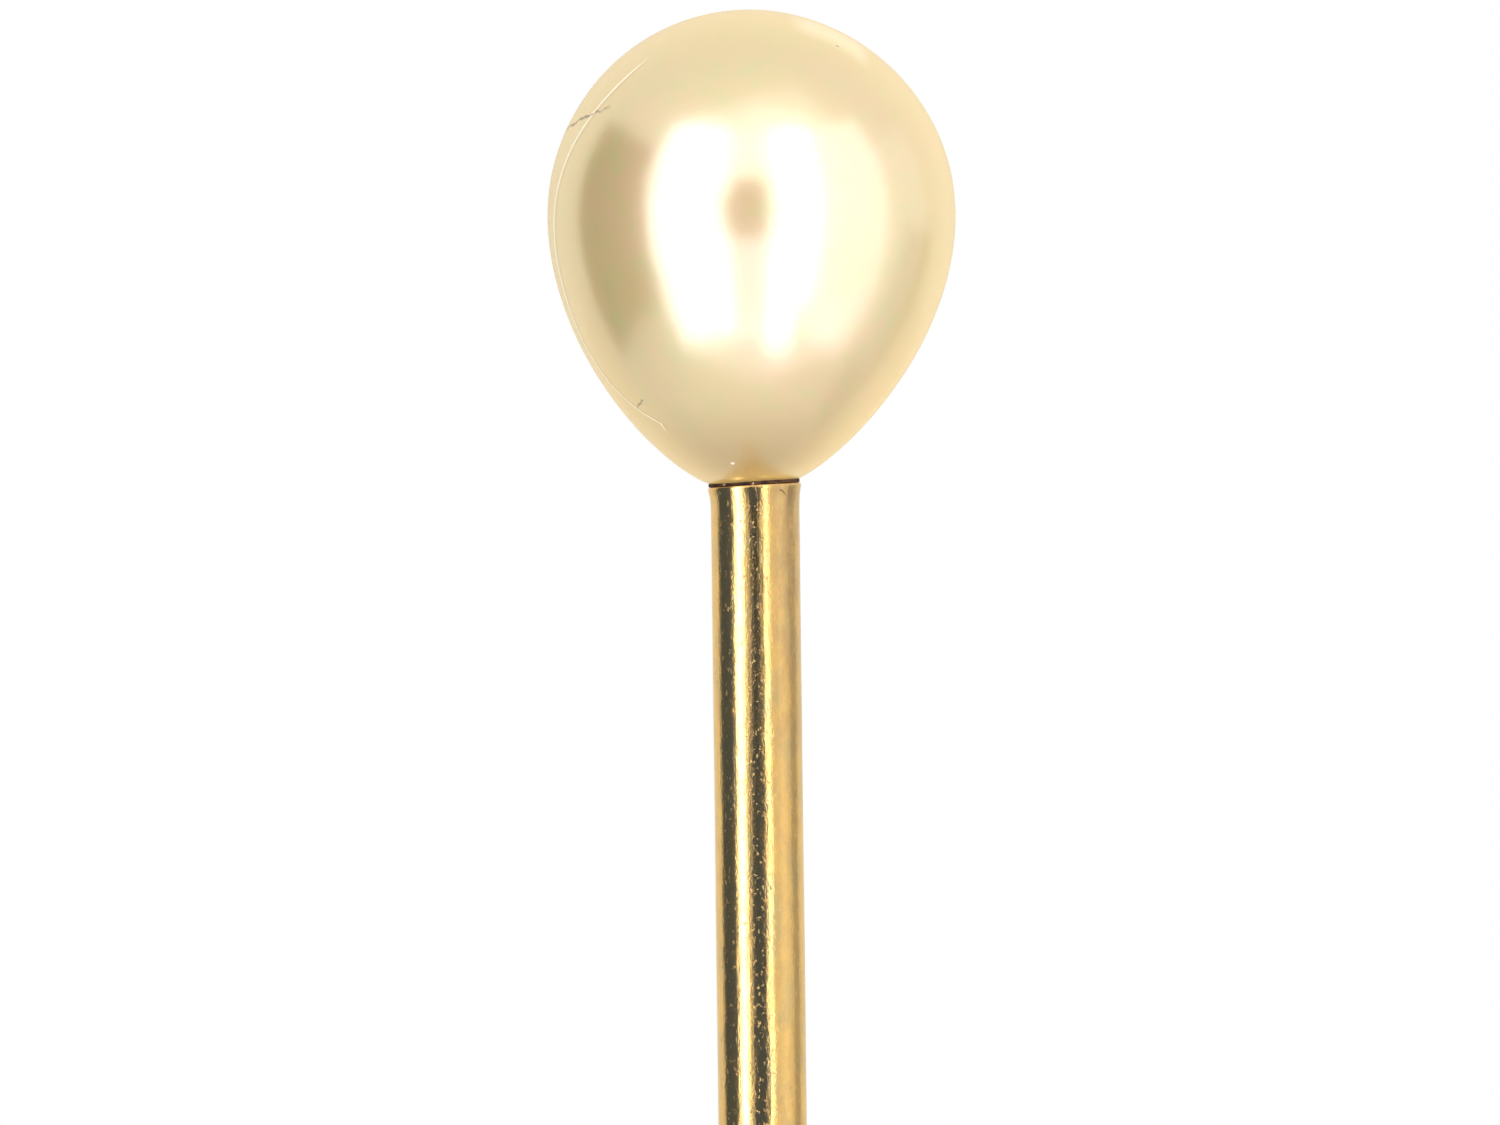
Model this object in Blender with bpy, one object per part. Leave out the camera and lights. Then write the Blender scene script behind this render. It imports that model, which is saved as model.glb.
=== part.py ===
"""A pearl-headed hat pin with a spring clutch parked on its point.

The pin stands along +Z. The origin is on the stem's axis at the stem's top
rim, where the pearl sits. Lengths are written in millimetres and scaled by MM.

The walls are only a few tenths of a millimetre thick, so neighbouring pieces
keep FIT (0.03 mm) between them, and the cement's saucer keeps a little less.
"""

import math

import bmesh
import bpy
from mathutils import Matrix, Vector

MM = 0.001
FIT = 0.03
EDGE = 0.05  # usual broken edge on a turned piece
LEAD = 0.12  # larger one, where something slides in
TURN = 2 * math.pi

# pearl: a drop with its broad end up, slightly bowed and not quite round
PEARL_FOOT = -0.075
PEARL_HEIGHT = 7.06
PEARL_HALF_WIDTH = 2.956
PEARL_TOP_HEAVY = 0.166
PEARL_END_DRAW = -0.087
PEARL_DEPTH_SHARE = 0.98
PEARL_BOW = 0.072
PEARL_BOW_CENTRE = 4.18
PEARL_BOW_REACH = 3.81
PEARL_RINGS = 22
PEARL_SIDES = 40

# half-drilled hole, peg and the cement that fills what is left
DRILL_RADIUS = 0.50
DRILL_DEPTH = 3.6
PEG_SIDE = 0.45
PEG_TOP = 3.3
PEG_BOTTOM = -2.4
PEG_TURNS = 3.5
PEG_STEPS = 28
PEG_BORE_RADIUS = 0.35
CEMENT_BEAD_RADIUS = 0.62
CEMENT_SKIN = 0.015

# stem: round wire with a cupped end and a long ground point
STEM_RADIUS = 0.65
STEM_LENGTH = 100.0
STEM_SIDES = 24
POINT_LENGTH = 9.0
POINT_BLUNT = 0.02
RIM_FLARE = 0.03
CUP_RADIUS = 0.58
CUP_SLOPE_RADIUS = 0.46
CUP_DEPTH = 0.16
PEG_BORE_DEPTH = 2.5

# clutch barrel, hung on the stem just above where the point begins
BARREL_TOP = -87.0
BARREL_BOTTOM = -96.6
BARREL_RADIUS = 2.2
BARREL_BORE = 1.9
BARREL_LIP = 0.4
BARREL_SHOULDER = 0.7
ENTRY_RADIUS = 0.75
CONE_HALF_ANGLE = math.radians(12.0)
BARREL_GROOVES = (-88.6, -95.4)
GROOVE_WIDTH = 0.3
GROOVE_DEPTH = 0.1
TURNED_SIDES = 36

# steel balls held between the stem and the barrel's cone
BALL_RADIUS = 0.4
BALL_COUNT = 3
BALL_HEIGHT = -89.5
BALL_GAP = 0.015
BALL_ORBIT = STEM_RADIUS + BALL_RADIUS + BALL_GAP

# plunger: a slotted tube with a spring flange, and the knob pressed on its end
CAGE_RADIUS = 1.0
CAGE_TOP = -88.3
CAGE_BOTTOM = -98.6
FLANGE_RADIUS = 1.5
FLANGE_TOP = -90.5
FLANGE_THICKNESS = 0.4
POCKET_INNER_RADIUS = 0.31
POCKET_OUTER_RADIUS = 0.435
POCKET_SIDES = 16
KNOB_RADIUS = 1.8
KNOB_TOP = -97.2
KNOB_BOTTOM = -102.2
KNOB_DIMPLE = -100.7
KNOB_DOME = 1.2
KNOB_SHOULDER = 0.15
GRIP_TOP = KNOB_TOP - 0.5
GRIP_BOTTOM = KNOB_BOTTOM + 1.7
KNURL_DEPTH = 0.09

# end ring and spring
RING_BOTTOM = BARREL_BOTTOM + FIT
RING_HEIGHT = 0.55
RING_BORE = 1.08
SPRING_WIRE = 0.24
SPRING_RADIUS = 1.28
SPRING_TURNS = 7.5
SPRING_CLOSED_PITCH = 0.28
SPRING_STEPS_PER_TURN = 12


def clear_scene():
    for old in list(bpy.data.objects):
        bpy.data.objects.remove(old, do_unlink=True)


def make_material(name, colour, roughness, metallic):
    material = bpy.data.materials.new(name)
    material.use_nodes = True
    shader = material.node_tree.nodes["Principled BSDF"]
    shader.inputs["Base Color"].default_value = (*colour, 1.0)
    shader.inputs["Roughness"].default_value = roughness
    shader.inputs["Metallic"].default_value = metallic
    material.diffuse_color = (*colour, 1.0)
    return material


def nacre():
    return make_material("cream_nacre", (0.88, 0.79, 0.62), 0.18, 0.0)


def dark_cement():
    return make_material("dark_cement", (0.09, 0.05, 0.05), 0.5, 0.0)


def yellow_gold():
    return make_material("yellow_gold", (0.86, 0.63, 0.28), 0.2, 1.0)


def bright_brass():
    return make_material("bright_brass", (0.76, 0.60, 0.30), 0.32, 1.0)


def hard_steel():
    return make_material("hard_steel", (0.58, 0.58, 0.60), 0.25, 1.0)


def add_object(name, bm, material, place=(0, 0, 0), parent=None):
    """Make an object from bm, whose coordinates are millimetres about place."""
    bmesh.ops.scale(bm, vec=(MM, MM, MM), verts=bm.verts)
    mesh = bpy.data.meshes.new(name)
    bm.to_mesh(mesh)
    bm.free()
    mesh.shade_smooth()
    mesh.set_sharp_from_angle(angle=math.radians(35))
    mesh.materials.append(material)
    made = bpy.data.objects.new(name, mesh)
    made.location = Vector(place) * MM
    made.parent = parent
    bpy.context.scene.collection.objects.link(made)
    return made


def add_empty(name, parent=None):
    """Make a handle on the stem's axis for pieces that move together."""
    made = bpy.data.objects.new(name, None)
    made.empty_display_size = 2 * MM
    made.parent = parent
    bpy.context.scene.collection.objects.link(made)
    return made


def turned(profile, sides, closed=True):
    """Spin (radius, height) points about Z into one closed skin."""
    bm = bmesh.new()
    verts = [bm.verts.new((radius, 0, height)) for radius, height in profile]
    ends = verts[1:] + verts[:1] if closed else verts[1:]
    edges = [bm.edges.new(pair) for pair in zip(verts, ends)]
    bmesh.ops.spin(
        bm,
        geom=verts + edges,
        cent=(0, 0, 0),
        axis=(0, 0, 1),
        angle=TURN,
        steps=sides,
        use_merge=True,
    )
    bmesh.ops.remove_doubles(bm, verts=bm.verts, dist=1e-4)
    bmesh.ops.recalc_face_normals(bm, faces=bm.faces)
    return bm


def arc(centre, radius, start, end, steps):
    """Points on a profile's rounded corner; angles are in degrees."""
    points = []
    for step in range(steps + 1):
        angle = math.radians(start + (end - start) * step / steps)
        points.append(
            (
                centre[0] + radius * math.cos(angle),
                centre[1] + radius * math.sin(angle),
            )
        )
    return points


def cut_with(target, cutter):
    cutter.hide_render = True
    cutter.display_type = "WIRE"
    difference = target.modifiers.new("cut_" + cutter.name, "BOOLEAN")
    difference.operation = "DIFFERENCE"
    difference.solver = "EXACT"
    difference.object = cutter


def pearl_half_width(height):
    share = 2 * (height - PEARL_FOOT) / PEARL_HEIGHT - 1
    swell = 1 + PEARL_TOP_HEAVY * share + PEARL_END_DRAW * share**2
    return PEARL_HALF_WIDTH * math.sqrt(max(0.0, 1 - share**2)) * swell


def pearl_bow(height):
    return -PEARL_BOW * ((height - PEARL_BOW_CENTRE) / PEARL_BOW_REACH) ** 2


def build_pearl(material, parent):
    profile = []
    for ring in range(PEARL_RINGS + 1):
        share = (1 - math.cos(math.pi * ring / PEARL_RINGS)) / 2
        height = PEARL_FOOT + PEARL_HEIGHT * share
        profile.append((pearl_half_width(height), height))
    bm = turned(profile, PEARL_SIDES, closed=False)
    for vert in bm.verts:
        vert.co.x += pearl_bow(vert.co.z)
        vert.co.y *= PEARL_DEPTH_SHARE
    pearl = add_object("pearl", bm, material, parent=parent)
    drill = bmesh.new()
    bmesh.ops.create_cone(
        drill,
        cap_ends=True,
        segments=STEM_SIDES,
        radius1=DRILL_RADIUS,
        radius2=DRILL_RADIUS,
        depth=2 * DRILL_DEPTH,
    )
    cut_with(pearl, add_object("pearl_drill", drill, material, parent=parent))


def build_cement(material, parent):
    """A capped sleeve round the peg that spreads into the cup as a thin saucer."""
    sleeve = DRILL_RADIUS - FIT
    edge = CEMENT_BEAD_RADIUS
    profile = [
        (0, DRILL_DEPTH - FIT),
        (sleeve, DRILL_DEPTH - FIT),
        (sleeve, -0.03),
        (DRILL_RADIUS, -0.035),
        (edge - 0.07, -0.01),
        (edge - 0.02, 0.008),
        (edge, 0.008 + CEMENT_SKIN / 2),
        (edge, CEMENT_SKIN / 3),
        (edge - 0.03, CEMENT_SKIN / 3),
        (edge - 0.06, -0.02),
        (CUP_SLOPE_RADIUS - 0.01, -CUP_DEPTH + 0.085),
        (PEG_BORE_RADIUS + 0.01, -CUP_DEPTH + 0.025),
        (PEG_BORE_RADIUS, -CUP_DEPTH + 0.02),
        (PEG_BORE_RADIUS, PEG_TOP + FIT),
        (0, PEG_TOP + FIT),
    ]
    add_object("pearl_cement", turned(profile, STEM_SIDES, closed=False), material, parent=parent)


def build_peg(material, parent):
    """A square wire twisted along its length, so that cement keys into it."""
    bm = bmesh.new()
    corner = PEG_SIDE / math.sqrt(2)
    bmesh.ops.create_circle(bm, cap_ends=True, radius=corner, segments=4)
    rim = list(bm.edges)
    rise = Matrix.Translation((0, 0, (PEG_TOP - PEG_BOTTOM) / PEG_STEPS))
    twist = Matrix.Rotation(TURN * PEG_TURNS / PEG_STEPS, 4, "Z")
    for _ in range(PEG_STEPS):
        pushed = bmesh.ops.extrude_edge_only(bm, edges=rim)["geom"]
        verts = [item for item in pushed if isinstance(item, bmesh.types.BMVert)]
        bmesh.ops.transform(bm, matrix=twist @ rise, verts=verts)
        rim = [edge for edge in bm.edges if all(end in verts for end in edge.verts)]
    bmesh.ops.holes_fill(bm, edges=rim, sides=4)
    bmesh.ops.recalc_face_normals(bm, faces=bm.faces)
    add_object("peg", bm, material, place=(0, 0, PEG_BOTTOM), parent=parent)


def point_radius(share):
    """Radius of the ground point; share runs from 0 at the tip to 1 at the full wire."""
    return STEM_RADIUS * (1 - (1 - share) ** 1.5)


def build_stem(material, parent):
    rings = 9
    profile = [(0, -STEM_LENGTH)]
    for ring in range(rings + 1):
        share = POINT_BLUNT + (1 - POINT_BLUNT) * ring / rings
        along = (share - POINT_BLUNT) / (1 - POINT_BLUNT) * POINT_LENGTH
        profile.append((point_radius(share), -STEM_LENGTH + 0.01 + along))
    flared = STEM_RADIUS + RIM_FLARE
    profile += [
        (STEM_RADIUS, -0.4),
        (STEM_RADIUS + RIM_FLARE / 4, -0.2),
        (flared, -0.07),
        (flared, -0.02),
        (flared - 0.02, 0.0),
        (CUP_RADIUS + 0.02, 0.0),
        (CUP_RADIUS, -0.02),
        (CUP_SLOPE_RADIUS, -CUP_DEPTH + 0.06),
        (PEG_BORE_RADIUS + 0.02, -CUP_DEPTH),
        (PEG_BORE_RADIUS, -CUP_DEPTH - 0.02),
        (PEG_BORE_RADIUS, -PEG_BORE_DEPTH),
        (0, -PEG_BORE_DEPTH - 0.2),
    ]
    add_object("stem", turned(profile, STEM_SIDES, closed=False), material, parent=parent)


def cone_radius(height):
    """Radius of the barrel's inner cone, BALL_GAP clear of a ball resting on the stem."""
    at_ball = BALL_ORBIT + (BALL_RADIUS + BALL_GAP) / math.cos(CONE_HALF_ANGLE)
    return at_ball + (BALL_HEIGHT - height) * math.tan(CONE_HALF_ANGLE)


def groove(centre):
    """Points of a shallow decorative groove on the barrel, top to bottom."""
    half = GROOVE_WIDTH / 2
    floor = BARREL_RADIUS - GROOVE_DEPTH
    return [
        (BARREL_RADIUS, centre + half),
        (floor, centre + half / 2),
        (floor, centre - half / 2),
        (BARREL_RADIUS, centre - half),
    ]


def build_barrel(material, parent):
    lip_floor = BARREL_TOP - BARREL_LIP
    cone_top = cone_radius(lip_floor)
    cone_foot = lip_floor - (BARREL_BORE - cone_top) / math.tan(CONE_HALF_ANGLE)
    turn_in = BARREL_SHOULDER
    shoulder = arc((BARREL_RADIUS - turn_in, BARREL_TOP - turn_in), turn_in, 90, 0, 6)
    profile = [(ENTRY_RADIUS + LEAD, BARREL_TOP)] + shoulder
    for centre in BARREL_GROOVES:
        profile += groove(centre)
    profile += [
        (BARREL_RADIUS, BARREL_BOTTOM + LEAD),
        (BARREL_RADIUS - LEAD, BARREL_BOTTOM),
        (BARREL_BORE, BARREL_BOTTOM),
        (BARREL_BORE, cone_foot),
        (cone_top, lip_floor),
        (ENTRY_RADIUS, lip_floor),
        (ENTRY_RADIUS, BARREL_TOP - LEAD),
    ]
    add_object("clutch_barrel", turned(profile, TURNED_SIDES), material, parent=parent)


def build_end_ring(material, parent):
    outer = BARREL_BORE - FIT
    low = RING_BOTTOM
    high = low + RING_HEIGHT
    profile = [
        (RING_BORE + EDGE, high),
        (outer - EDGE, high),
        (outer, high - EDGE),
        (outer, low + EDGE),
        (outer - EDGE, low),
        (RING_BORE + EDGE, low),
        (RING_BORE, low + EDGE),
        (RING_BORE, high - EDGE),
    ]
    add_object("clutch_end_ring", turned(profile, TURNED_SIDES), material, parent=parent)


def spring_height(share, low, high):
    """Height along the coil: one nearly closed turn at each end, open between."""
    turns = share * SPRING_TURNS
    closed = SPRING_CLOSED_PITCH
    open_turns = SPRING_TURNS - 2
    open_pitch = (high - low - 2 * closed) / open_turns
    if turns < 1:
        return low + turns * closed
    if turns > SPRING_TURNS - 1:
        return high - (SPRING_TURNS - turns) * closed
    return low + closed + (turns - 1) * open_pitch


def build_spring(material, parent):
    half_wire = SPRING_WIRE / 2
    low = RING_BOTTOM + RING_HEIGHT + FIT + half_wire
    high = FLANGE_TOP - FLANGE_THICKNESS - FIT - half_wire
    steps = round(SPRING_TURNS * SPRING_STEPS_PER_TURN)
    curve = bpy.data.curves.new("clutch_spring", "CURVE")
    curve.dimensions = "3D"
    curve.bevel_depth = half_wire * MM
    curve.bevel_resolution = 2
    curve.use_fill_caps = True
    line = curve.splines.new("POLY")
    line.points.add(steps)
    for step, point in enumerate(line.points):
        share = step / steps
        angle = TURN * SPRING_TURNS * share
        height = spring_height(share, low, high)
        x = SPRING_RADIUS * math.cos(angle)
        y = SPRING_RADIUS * math.sin(angle)
        point.co = (x * MM, y * MM, height * MM, 1)
    curve.materials.append(material)
    spring = bpy.data.objects.new("clutch_spring", curve)
    spring.parent = parent
    bpy.context.scene.collection.objects.link(spring)


def build_cage(material, parent):
    flange_low = FLANGE_TOP - FLANGE_THICKNESS
    profile = [
        (ENTRY_RADIUS + EDGE, CAGE_TOP),
        (CAGE_RADIUS - EDGE, CAGE_TOP),
        (CAGE_RADIUS, CAGE_TOP - EDGE),
        (CAGE_RADIUS, FLANGE_TOP),
        (FLANGE_RADIUS - EDGE, FLANGE_TOP),
        (FLANGE_RADIUS, FLANGE_TOP - EDGE),
        (FLANGE_RADIUS, flange_low + EDGE),
        (FLANGE_RADIUS - EDGE, flange_low),
        (CAGE_RADIUS, flange_low),
        (CAGE_RADIUS, CAGE_BOTTOM),
        (ENTRY_RADIUS, CAGE_BOTTOM),
        (ENTRY_RADIUS, CAGE_TOP - EDGE),
    ]
    cage = add_object("clutch_cage", turned(profile, TURNED_SIDES), material, parent=parent)
    wall = CAGE_RADIUS - ENTRY_RADIUS
    reach = 0.2  # how far a pocket's cutter stands out of the wall on each side
    slope = (POCKET_OUTER_RADIUS - POCKET_INNER_RADIUS) / wall
    for number in range(BALL_COUNT):
        pocket = bmesh.new()
        bmesh.ops.create_cone(
            pocket,
            cap_ends=True,
            segments=POCKET_SIDES,
            radius1=POCKET_INNER_RADIUS - reach * slope,
            radius2=POCKET_OUTER_RADIUS + reach * slope,
            depth=wall + 2 * reach,
        )
        outward = Matrix.Translation(((CAGE_RADIUS + ENTRY_RADIUS) / 2, 0, BALL_HEIGHT))
        lay_flat = Matrix.Rotation(math.pi / 2, 4, "Y")
        around = Matrix.Rotation(ball_angle(number), 4, "Z")
        bmesh.ops.transform(pocket, matrix=around @ outward @ lay_flat, verts=pocket.verts)
        cutter = add_object(f"ball_pocket_{number + 1}", pocket, material, parent=parent)
        cut_with(cage, cutter)


def ball_angle(number):
    return math.pi / 2 + TURN * number / BALL_COUNT


def build_balls(material, parent):
    for number in range(BALL_COUNT):
        bm = bmesh.new()
        bmesh.ops.create_icosphere(bm, subdivisions=2, radius=BALL_RADIUS)
        angle = ball_angle(number)
        place = (BALL_ORBIT * math.cos(angle), BALL_ORBIT * math.sin(angle), BALL_HEIGHT)
        add_object(f"clutch_ball_{number + 1}", bm, material, place=place, parent=parent)


def build_knob(material, parent):
    """A fluted cap with a dimple deep enough for the point."""
    socket = CAGE_RADIUS + FIT
    dome = arc((KNOB_RADIUS - KNOB_DOME, KNOB_BOTTOM + KNOB_DOME), KNOB_DOME, 0, -90, 8)
    profile = [
        (0, KNOB_DIMPLE - 0.15),
        (ENTRY_RADIUS, KNOB_DIMPLE),
        (ENTRY_RADIUS, CAGE_BOTTOM - 0.1),
        (socket, CAGE_BOTTOM - 0.1),
        (socket, KNOB_TOP - EDGE),
        (socket + EDGE, KNOB_TOP),
        (KNOB_RADIUS - KNOB_SHOULDER, KNOB_TOP),
        (KNOB_RADIUS, KNOB_TOP - KNOB_SHOULDER),
        (KNOB_RADIUS, GRIP_TOP + 0.1),
        (KNOB_RADIUS, GRIP_TOP),
        (KNOB_RADIUS, GRIP_BOTTOM),
        (KNOB_RADIUS, GRIP_BOTTOM - 0.1),
    ]
    profile += dome + [(0, KNOB_BOTTOM)]
    bm = turned(profile, TURNED_SIDES, closed=False)
    step = TURN / TURNED_SIDES
    for vert in bm.verts:
        radius = math.hypot(vert.co.x, vert.co.y)
        column = round(math.atan2(vert.co.y, vert.co.x) / step)
        in_grip = GRIP_BOTTOM - 0.01 < vert.co.z < GRIP_TOP + 0.01
        if in_grip and radius > socket + 0.2 and column % 2:
            vert.co.x *= 1 - KNURL_DEPTH / radius
            vert.co.y *= 1 - KNURL_DEPTH / radius
    add_object("clutch_knob", bm, material, parent=parent)


def build():
    clear_scene()
    gold = yellow_gold()
    brass = bright_brass()
    steel = hard_steel()
    pin = add_empty("pin")
    shell = add_empty("clutch_shell", parent=pin)
    plunger = add_empty("clutch_plunger", parent=shell)
    build_pearl(nacre(), pin)
    build_cement(dark_cement(), pin)
    build_peg(brass, pin)
    build_stem(gold, pin)
    build_barrel(gold, shell)
    build_end_ring(brass, shell)
    build_spring(steel, shell)
    build_cage(brass, plunger)
    build_balls(steel, plunger)
    build_knob(gold, plunger)


build()
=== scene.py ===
import math

import bmesh
import bpy
from mathutils import Matrix, Vector, noise


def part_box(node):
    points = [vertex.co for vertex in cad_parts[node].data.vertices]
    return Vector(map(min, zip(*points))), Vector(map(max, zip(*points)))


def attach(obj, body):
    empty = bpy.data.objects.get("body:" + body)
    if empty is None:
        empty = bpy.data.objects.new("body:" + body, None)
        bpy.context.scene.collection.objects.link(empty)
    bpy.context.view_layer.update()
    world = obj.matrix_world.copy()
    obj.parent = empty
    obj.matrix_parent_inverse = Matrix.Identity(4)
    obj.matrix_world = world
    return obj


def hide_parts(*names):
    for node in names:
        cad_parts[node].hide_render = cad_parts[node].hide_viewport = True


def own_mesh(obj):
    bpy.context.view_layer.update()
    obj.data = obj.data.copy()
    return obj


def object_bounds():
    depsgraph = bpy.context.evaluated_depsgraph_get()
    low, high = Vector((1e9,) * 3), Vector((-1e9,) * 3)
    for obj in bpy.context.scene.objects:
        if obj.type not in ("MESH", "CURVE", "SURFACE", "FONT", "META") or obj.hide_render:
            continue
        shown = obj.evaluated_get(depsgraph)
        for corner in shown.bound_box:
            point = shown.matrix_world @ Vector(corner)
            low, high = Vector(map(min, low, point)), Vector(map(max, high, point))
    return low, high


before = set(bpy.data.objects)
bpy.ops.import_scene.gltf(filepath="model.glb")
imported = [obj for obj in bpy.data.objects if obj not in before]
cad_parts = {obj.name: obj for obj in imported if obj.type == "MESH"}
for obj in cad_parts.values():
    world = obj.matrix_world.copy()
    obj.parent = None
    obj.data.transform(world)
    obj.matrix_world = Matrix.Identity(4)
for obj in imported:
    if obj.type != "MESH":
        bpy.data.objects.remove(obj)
cadLow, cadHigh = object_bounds()

mm = 0.001
fullTurn = 2 * math.pi


cameraSetup = {
    "distance": 200,  # mm from the stem's axis
    "frameWidth": 21.994,  # mm of the pin's plane that the long side takes in
    "lean": 0.685,  # degrees that the pin's foot swings to the right
    "aimX": -0.086,
    "aimZ": -1.121,
    "sensor": 36,
}


def makeCamera(setup):
    lens = bpy.data.cameras.new("studioCamera")
    lens.sensor_width = setup["sensor"]
    lens.lens = setup["sensor"] * setup["distance"] / setup["frameWidth"]
    lens.clip_start = 0.01
    lens.clip_end = 10
    lean = math.radians(setup["lean"])
    right = Vector((math.cos(lean), 0, -math.sin(lean)))
    up = Vector((math.sin(lean), 0, math.cos(lean)))
    back = Vector((0, -1, 0))
    turn = Matrix((right, up, back)).transposed().to_4x4()
    place = Vector((setup["aimX"], -setup["distance"], setup["aimZ"])) * mm
    camera = bpy.data.objects.new("studioCamera", lens)
    bpy.context.scene.collection.objects.link(camera)
    camera.matrix_world = Matrix.Translation(place) @ turn
    bpy.context.scene.camera = camera


makeCamera(cameraSetup)
bpy.context.scene.view_settings.view_transform = "Standard"
print("camera set")


class Signal:
    # a socket that grows Math nodes when it is used in an expression
    def __init__(self, tree, socket):
        self.tree = tree
        self.socket = socket

    def maths(self, operation, *others):
        node = self.tree.nodes.new("ShaderNodeMath")
        node.operation = operation
        for slot, value in zip(node.inputs, others):
            if isinstance(value, Signal):
                self.tree.links.new(value.socket, slot)
            else:
                slot.default_value = value
        return Signal(self.tree, node.outputs[0])

    def __add__(self, other):
        return self.maths("ADD", self, other)

    def __radd__(self, other):
        return self.maths("ADD", other, self)

    def __sub__(self, other):
        return self.maths("SUBTRACT", self, other)

    def __rsub__(self, other):
        return self.maths("SUBTRACT", other, self)

    def __mul__(self, other):
        return self.maths("MULTIPLY", self, other)

    def __rmul__(self, other):
        return self.maths("MULTIPLY", other, self)

    def __pow__(self, other):
        return self.maths("POWER", self, other)

    def __abs__(self):
        return self.maths("ABSOLUTE", self)

    def clamped(self):
        return self.maths("MINIMUM", self.maths("MAXIMUM", self, 0.0), 1.0)


class Nodes:
    # a node tree in which add() makes every node and sets or links its inputs
    def __init__(self, tree):
        self.tree = tree

    def add(self, kind, settings=None, inputs=None, output=0):
        node = self.tree.nodes.new(kind)
        for key, value in (settings or {}).items():
            setattr(node, key, value)
        self.fill(node, inputs or {})
        return Signal(self.tree, node.outputs[output])

    def fill(self, node, values):
        for key, value in values.items():
            if isinstance(value, Signal):
                self.tree.links.new(value.socket, node.inputs[key])
            else:
                node.inputs[key].default_value = value


class Finish(Nodes):
    # one material, and shade() sets its Principled shader
    def __init__(self, name):
        self.material = bpy.data.materials.new(name)
        self.material.use_nodes = True
        super().__init__(self.material.node_tree)
        self.shader = self.tree.nodes["Principled BSDF"]
        position = self.add("ShaderNodeTexCoord", output="Object")
        scaled = self.add("ShaderNodeMapping", inputs={"Vector": position, "Scale": (1000, 1000, 1000)})
        self.place = scaled  # where the point lies on the object, in mm
        split = self.add("ShaderNodeSeparateXYZ", inputs={0: scaled}).socket.node
        self.x, self.y, self.z = (Signal(self.tree, socket) for socket in split.outputs)

    def around(self, shift=0.0):
        # turn about the upright axis from the front, in radians
        inputs = {0: self.x + shift, 1: 0.0 - self.y}
        return self.add("ShaderNodeMath", {"operation": "ARCTAN2"}, inputs)

    def clouds(self, scale, detail=3.0, rough=0.5, vector=None):
        inputs = {"Vector": vector or self.place, "Scale": scale, "Detail": detail, "Roughness": rough}
        return self.add("ShaderNodeTexNoise", inputs=inputs)

    def step(self, value, low, high):
        # 0 below low, 1 above high, smooth between
        inputs = {"Value": value, "From Min": low, "From Max": high}
        return self.add("ShaderNodeMapRange", {"interpolation_type": "SMOOTHSTEP"}, inputs)

    def line(self, distance, half, soft=1.8):
        # 1 on a line, fading to 0 at soft times its half width
        return 1.0 - self.step(abs(distance), half * 0.4, half * soft)

    def mix(self, factor, first, second):
        inputs = {0: factor, 6: asColour(first), 7: asColour(second)}
        return self.add("ShaderNodeMix", {"data_type": "RGBA"}, inputs, output=2)

    def bump(self, height, strength, distance):
        inputs = {"Height": height, "Strength": strength, "Distance": distance}
        return self.add("ShaderNodeBump", inputs=inputs)

    def shade(self, **values):
        self.fill(self.shader, {key.replace("_", " "): value for key, value in values.items()})
        return self.material


def asColour(value):
    return value if isinstance(value, Signal) else (*value, 1)


def publish(name, bm, material, body, node, sharp=35):
    # turns a mesh built in mm into a finished piece that stands for one CAD node
    bmesh.ops.scale(bm, vec=(mm, mm, mm), verts=bm.verts)
    mesh = bpy.data.meshes.new(name)
    bm.to_mesh(mesh)
    bm.free()
    mesh.shade_smooth()
    mesh.set_sharp_from_angle(angle=math.radians(sharp))
    mesh.materials.append(material)
    piece = bpy.data.objects.new(name, mesh)
    bpy.context.scene.collection.objects.link(piece)
    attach(piece, body)
    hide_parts(node)
    return piece


def turned(profile, sides, loop=False):
    # spins (radius, height) points about the stem's axis into a closed skin
    bm = bmesh.new()
    verts = [bm.verts.new((radius, 0, height)) for radius, height in profile]
    ends = verts[1:] + verts[:1] if loop else verts[1:]
    edges = [bm.edges.new(pair) for pair in zip(verts, ends)]
    bmesh.ops.spin(
        bm, geom=verts + edges, cent=(0, 0, 0), axis=(0, 0, 1),
        angle=fullTurn, steps=sides, use_merge=True,
    )
    bmesh.ops.remove_doubles(bm, verts=bm.verts, dist=1e-4)
    bmesh.ops.recalc_face_normals(bm, faces=bm.faces)
    return bm


def arc(centre, radius, start, end, steps):
    points = []
    for step in range(steps + 1):
        angle = math.radians(start + (end - start) * step / steps)
        points.append((centre[0] + radius * math.cos(angle), centre[1] + radius * math.sin(angle)))
    return points


def smoothly(value, low, high):
    share = min(1, max(0, (value - low) / (high - low)))
    return share * share * (3 - 2 * share)


def lowOf(node):
    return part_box(node)[0].z / mm


def highOf(node):
    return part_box(node)[1].z / mm


def halfWidthOf(node):
    return (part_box(node)[1].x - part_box(node)[0].x) / 2 / mm


pearlShape = {
    "foot": -0.075,
    "halfWidth": 2.956,
    "topHeavy": 0.166,
    "endDraw": -0.087,
    "depthShare": 0.98,
    "bow": 0.072,
    "bowCentre": 4.18,
    "bowReach": 3.81,
    "drill": 0.50,
    "drillTop": 3.6,
    "drillFoot": 0.03,
    "drillSteps": 12,
    "rings": 110,
    "sides": 168,
    "unevenness": 0.012,
    "unevenScale": 0.55,
    "sag": 0.015,
    "sagReach": 0.6,
}


pearlTop = highOf("pearl")


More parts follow.
